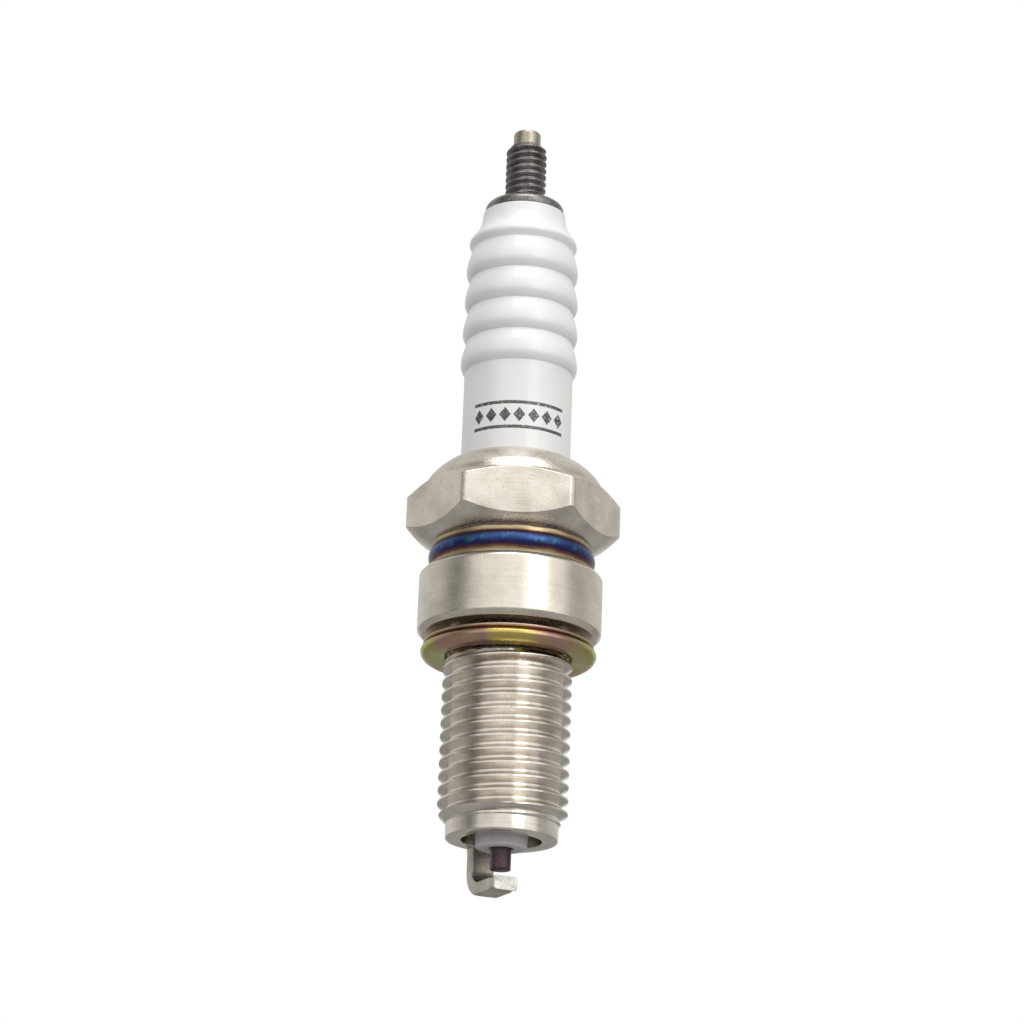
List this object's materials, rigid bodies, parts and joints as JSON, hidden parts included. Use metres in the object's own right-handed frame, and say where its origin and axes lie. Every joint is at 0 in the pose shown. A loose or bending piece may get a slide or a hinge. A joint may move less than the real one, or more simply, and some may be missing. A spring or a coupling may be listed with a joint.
{
  "type": "spark plug",
  "caption": "Small-bore engine spark plug with ribbed ceramic insulator, hexagon shell, loose crush gasket, threaded barrel, bent ground strap and bare threaded terminal stud.",
  "frame": {"origin": "on the plug's axis, in the plane of the gasket seat (the underside of the shell's collar), where the thread starts to be measured", "axes": "+Z along the axis towards the terminal stud, -Z towards the electrodes; two of the hexagon's flats face +Y and -Y, and two of its corners point along +X and -X"},
  "size_m": [0.02, 0.0176, 0.0745],
  "materials": {
    "nickel_plated_steel": "satin nickel plate, warm",
    "glazed_alumina": "glossy white glaze",
    "phosphated_steel": "dark grey phosphate, satin",
    "sealing_glass": "dull dark conductive glass",
    "electrode_nickel": "dark oxidised nickel alloy",
    "core_copper": "plain copper",
    "strap_nickel": "satin nickel alloy, sheared end",
    "zinc_plated_steel": "yellow passivated zinc plate",
    "bare_steel": "plain steel",
    "talc": "pressed white talc powder"
  },
  "bodies": {
    "plug": {"shell": "nickel_plated_steel", "insulator": "glazed_alumina", "terminal_stud": "phosphated_steel", "glass_seal": "sealing_glass", "centre_electrode": "electrode_nickel", "copper_core": "core_copper", "ground_electrode": "strap_nickel", "inner_seat_washer": "bare_steel", "lower_packing_ring": "bare_steel", "upper_packing_ring": "bare_steel", "talc_packing": "talc"},
    "gasket": {"gasket": "zinc_plated_steel"}
  },
  "joints": [
    {"name": "gasket_slide", "type": "slide", "parent": "plug", "child": "gasket", "axis": [0, 0, 1], "range_m": [0, 0.0006]}
  ]
}
